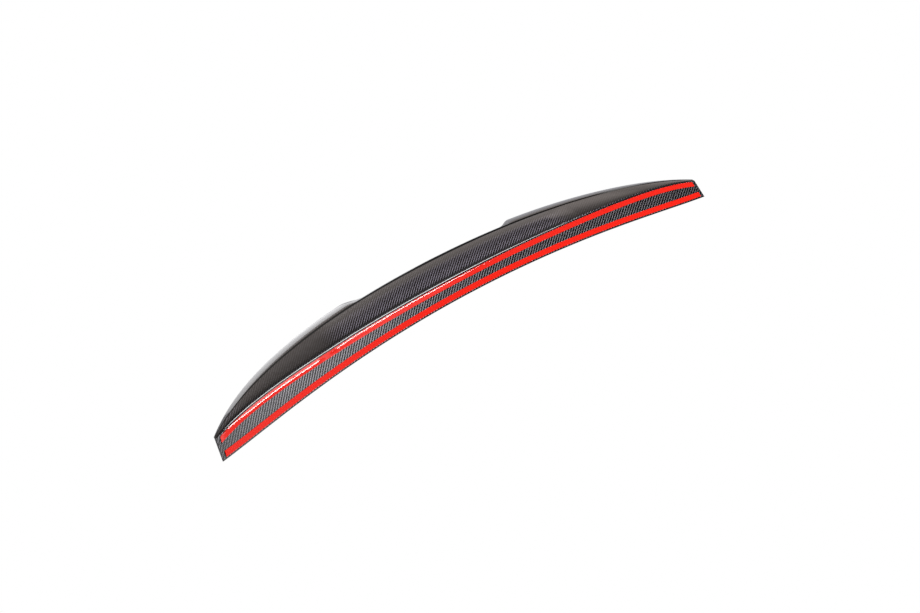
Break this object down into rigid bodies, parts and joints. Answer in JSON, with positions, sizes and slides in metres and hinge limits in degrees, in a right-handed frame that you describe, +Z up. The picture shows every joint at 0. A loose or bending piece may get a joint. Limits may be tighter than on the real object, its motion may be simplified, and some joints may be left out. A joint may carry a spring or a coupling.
{
  "type": "car rear spoiler",
  "caption": "Bowed boot-lid spoiler in glossy carbon fibre, with raised side fins, a low middle and red-lined bonding tape along its underside flange.",
  "frame": {"origin": "middle of the bonding face, halfway along the span and halfway across the flange", "axes": "+X across the car to its right, +Y forward, +Z up; the bonding face looks down"},
  "size_m": [1.2, 0.1319, 0.0852],
  "materials": {
    "carbon_fibre": "2x2 twill carbon cloth under gloss clear coat",
    "acrylic_foam": "matt closed-cell foam",
    "liner_film": "smooth red release film"
  },
  "bodies": {
    "root": {"spoiler_moulding": "carbon_fibre", "front_tape_foam": "acrylic_foam", "front_tape_liner": "liner_film", "rear_tape_foam": "acrylic_foam", "rear_tape_liner": "liner_film"}
  },
  "joints": []
}
